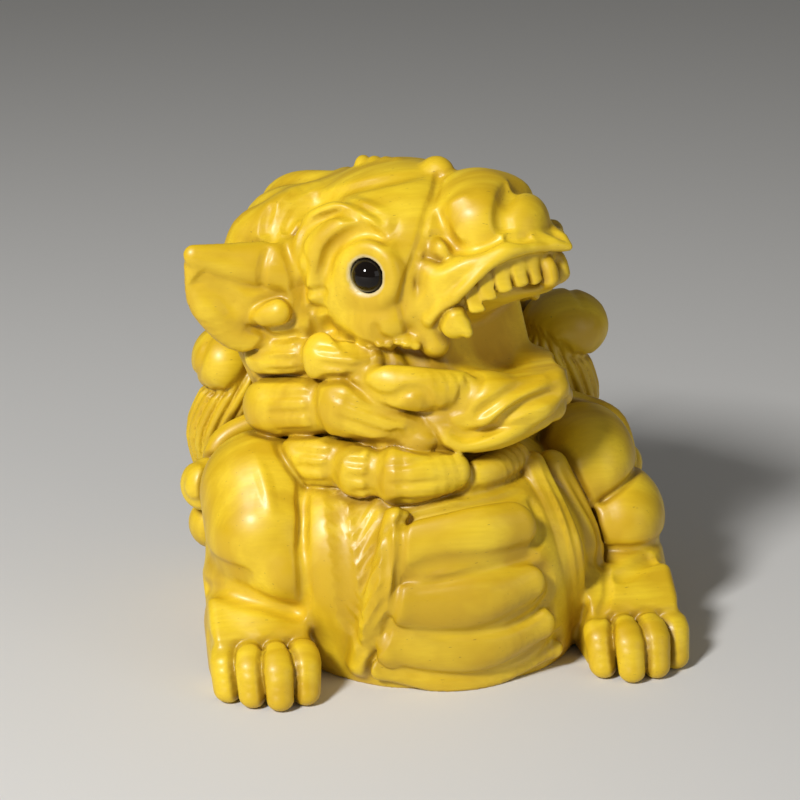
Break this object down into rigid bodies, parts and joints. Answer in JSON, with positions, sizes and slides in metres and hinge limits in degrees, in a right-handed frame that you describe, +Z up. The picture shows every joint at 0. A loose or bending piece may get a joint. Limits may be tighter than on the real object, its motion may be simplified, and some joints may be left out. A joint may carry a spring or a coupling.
{
  "type": "pixiu figure",
  "caption": "Small carved boxwood pixiu, seated with its mouth open and its head turned aside, with black bead eyes.",
  "frame": {"origin": "middle of the footprint's box, on the floor", "axes": "+Z up, the figure's belly faces -Y, and its own right side is at -X"},
  "size_m": [0.0522, 0.0504, 0.0528],
  "materials": {
    "boxwood": "polished, satin sheen, fine straight grain",
    "eye_bead": "opaque black, glossy"
  },
  "bodies": {
    "root": {"carved_figure": "boxwood", "right_eye": "eye_bead", "left_eye": "eye_bead"}
  },
  "joints": []
}
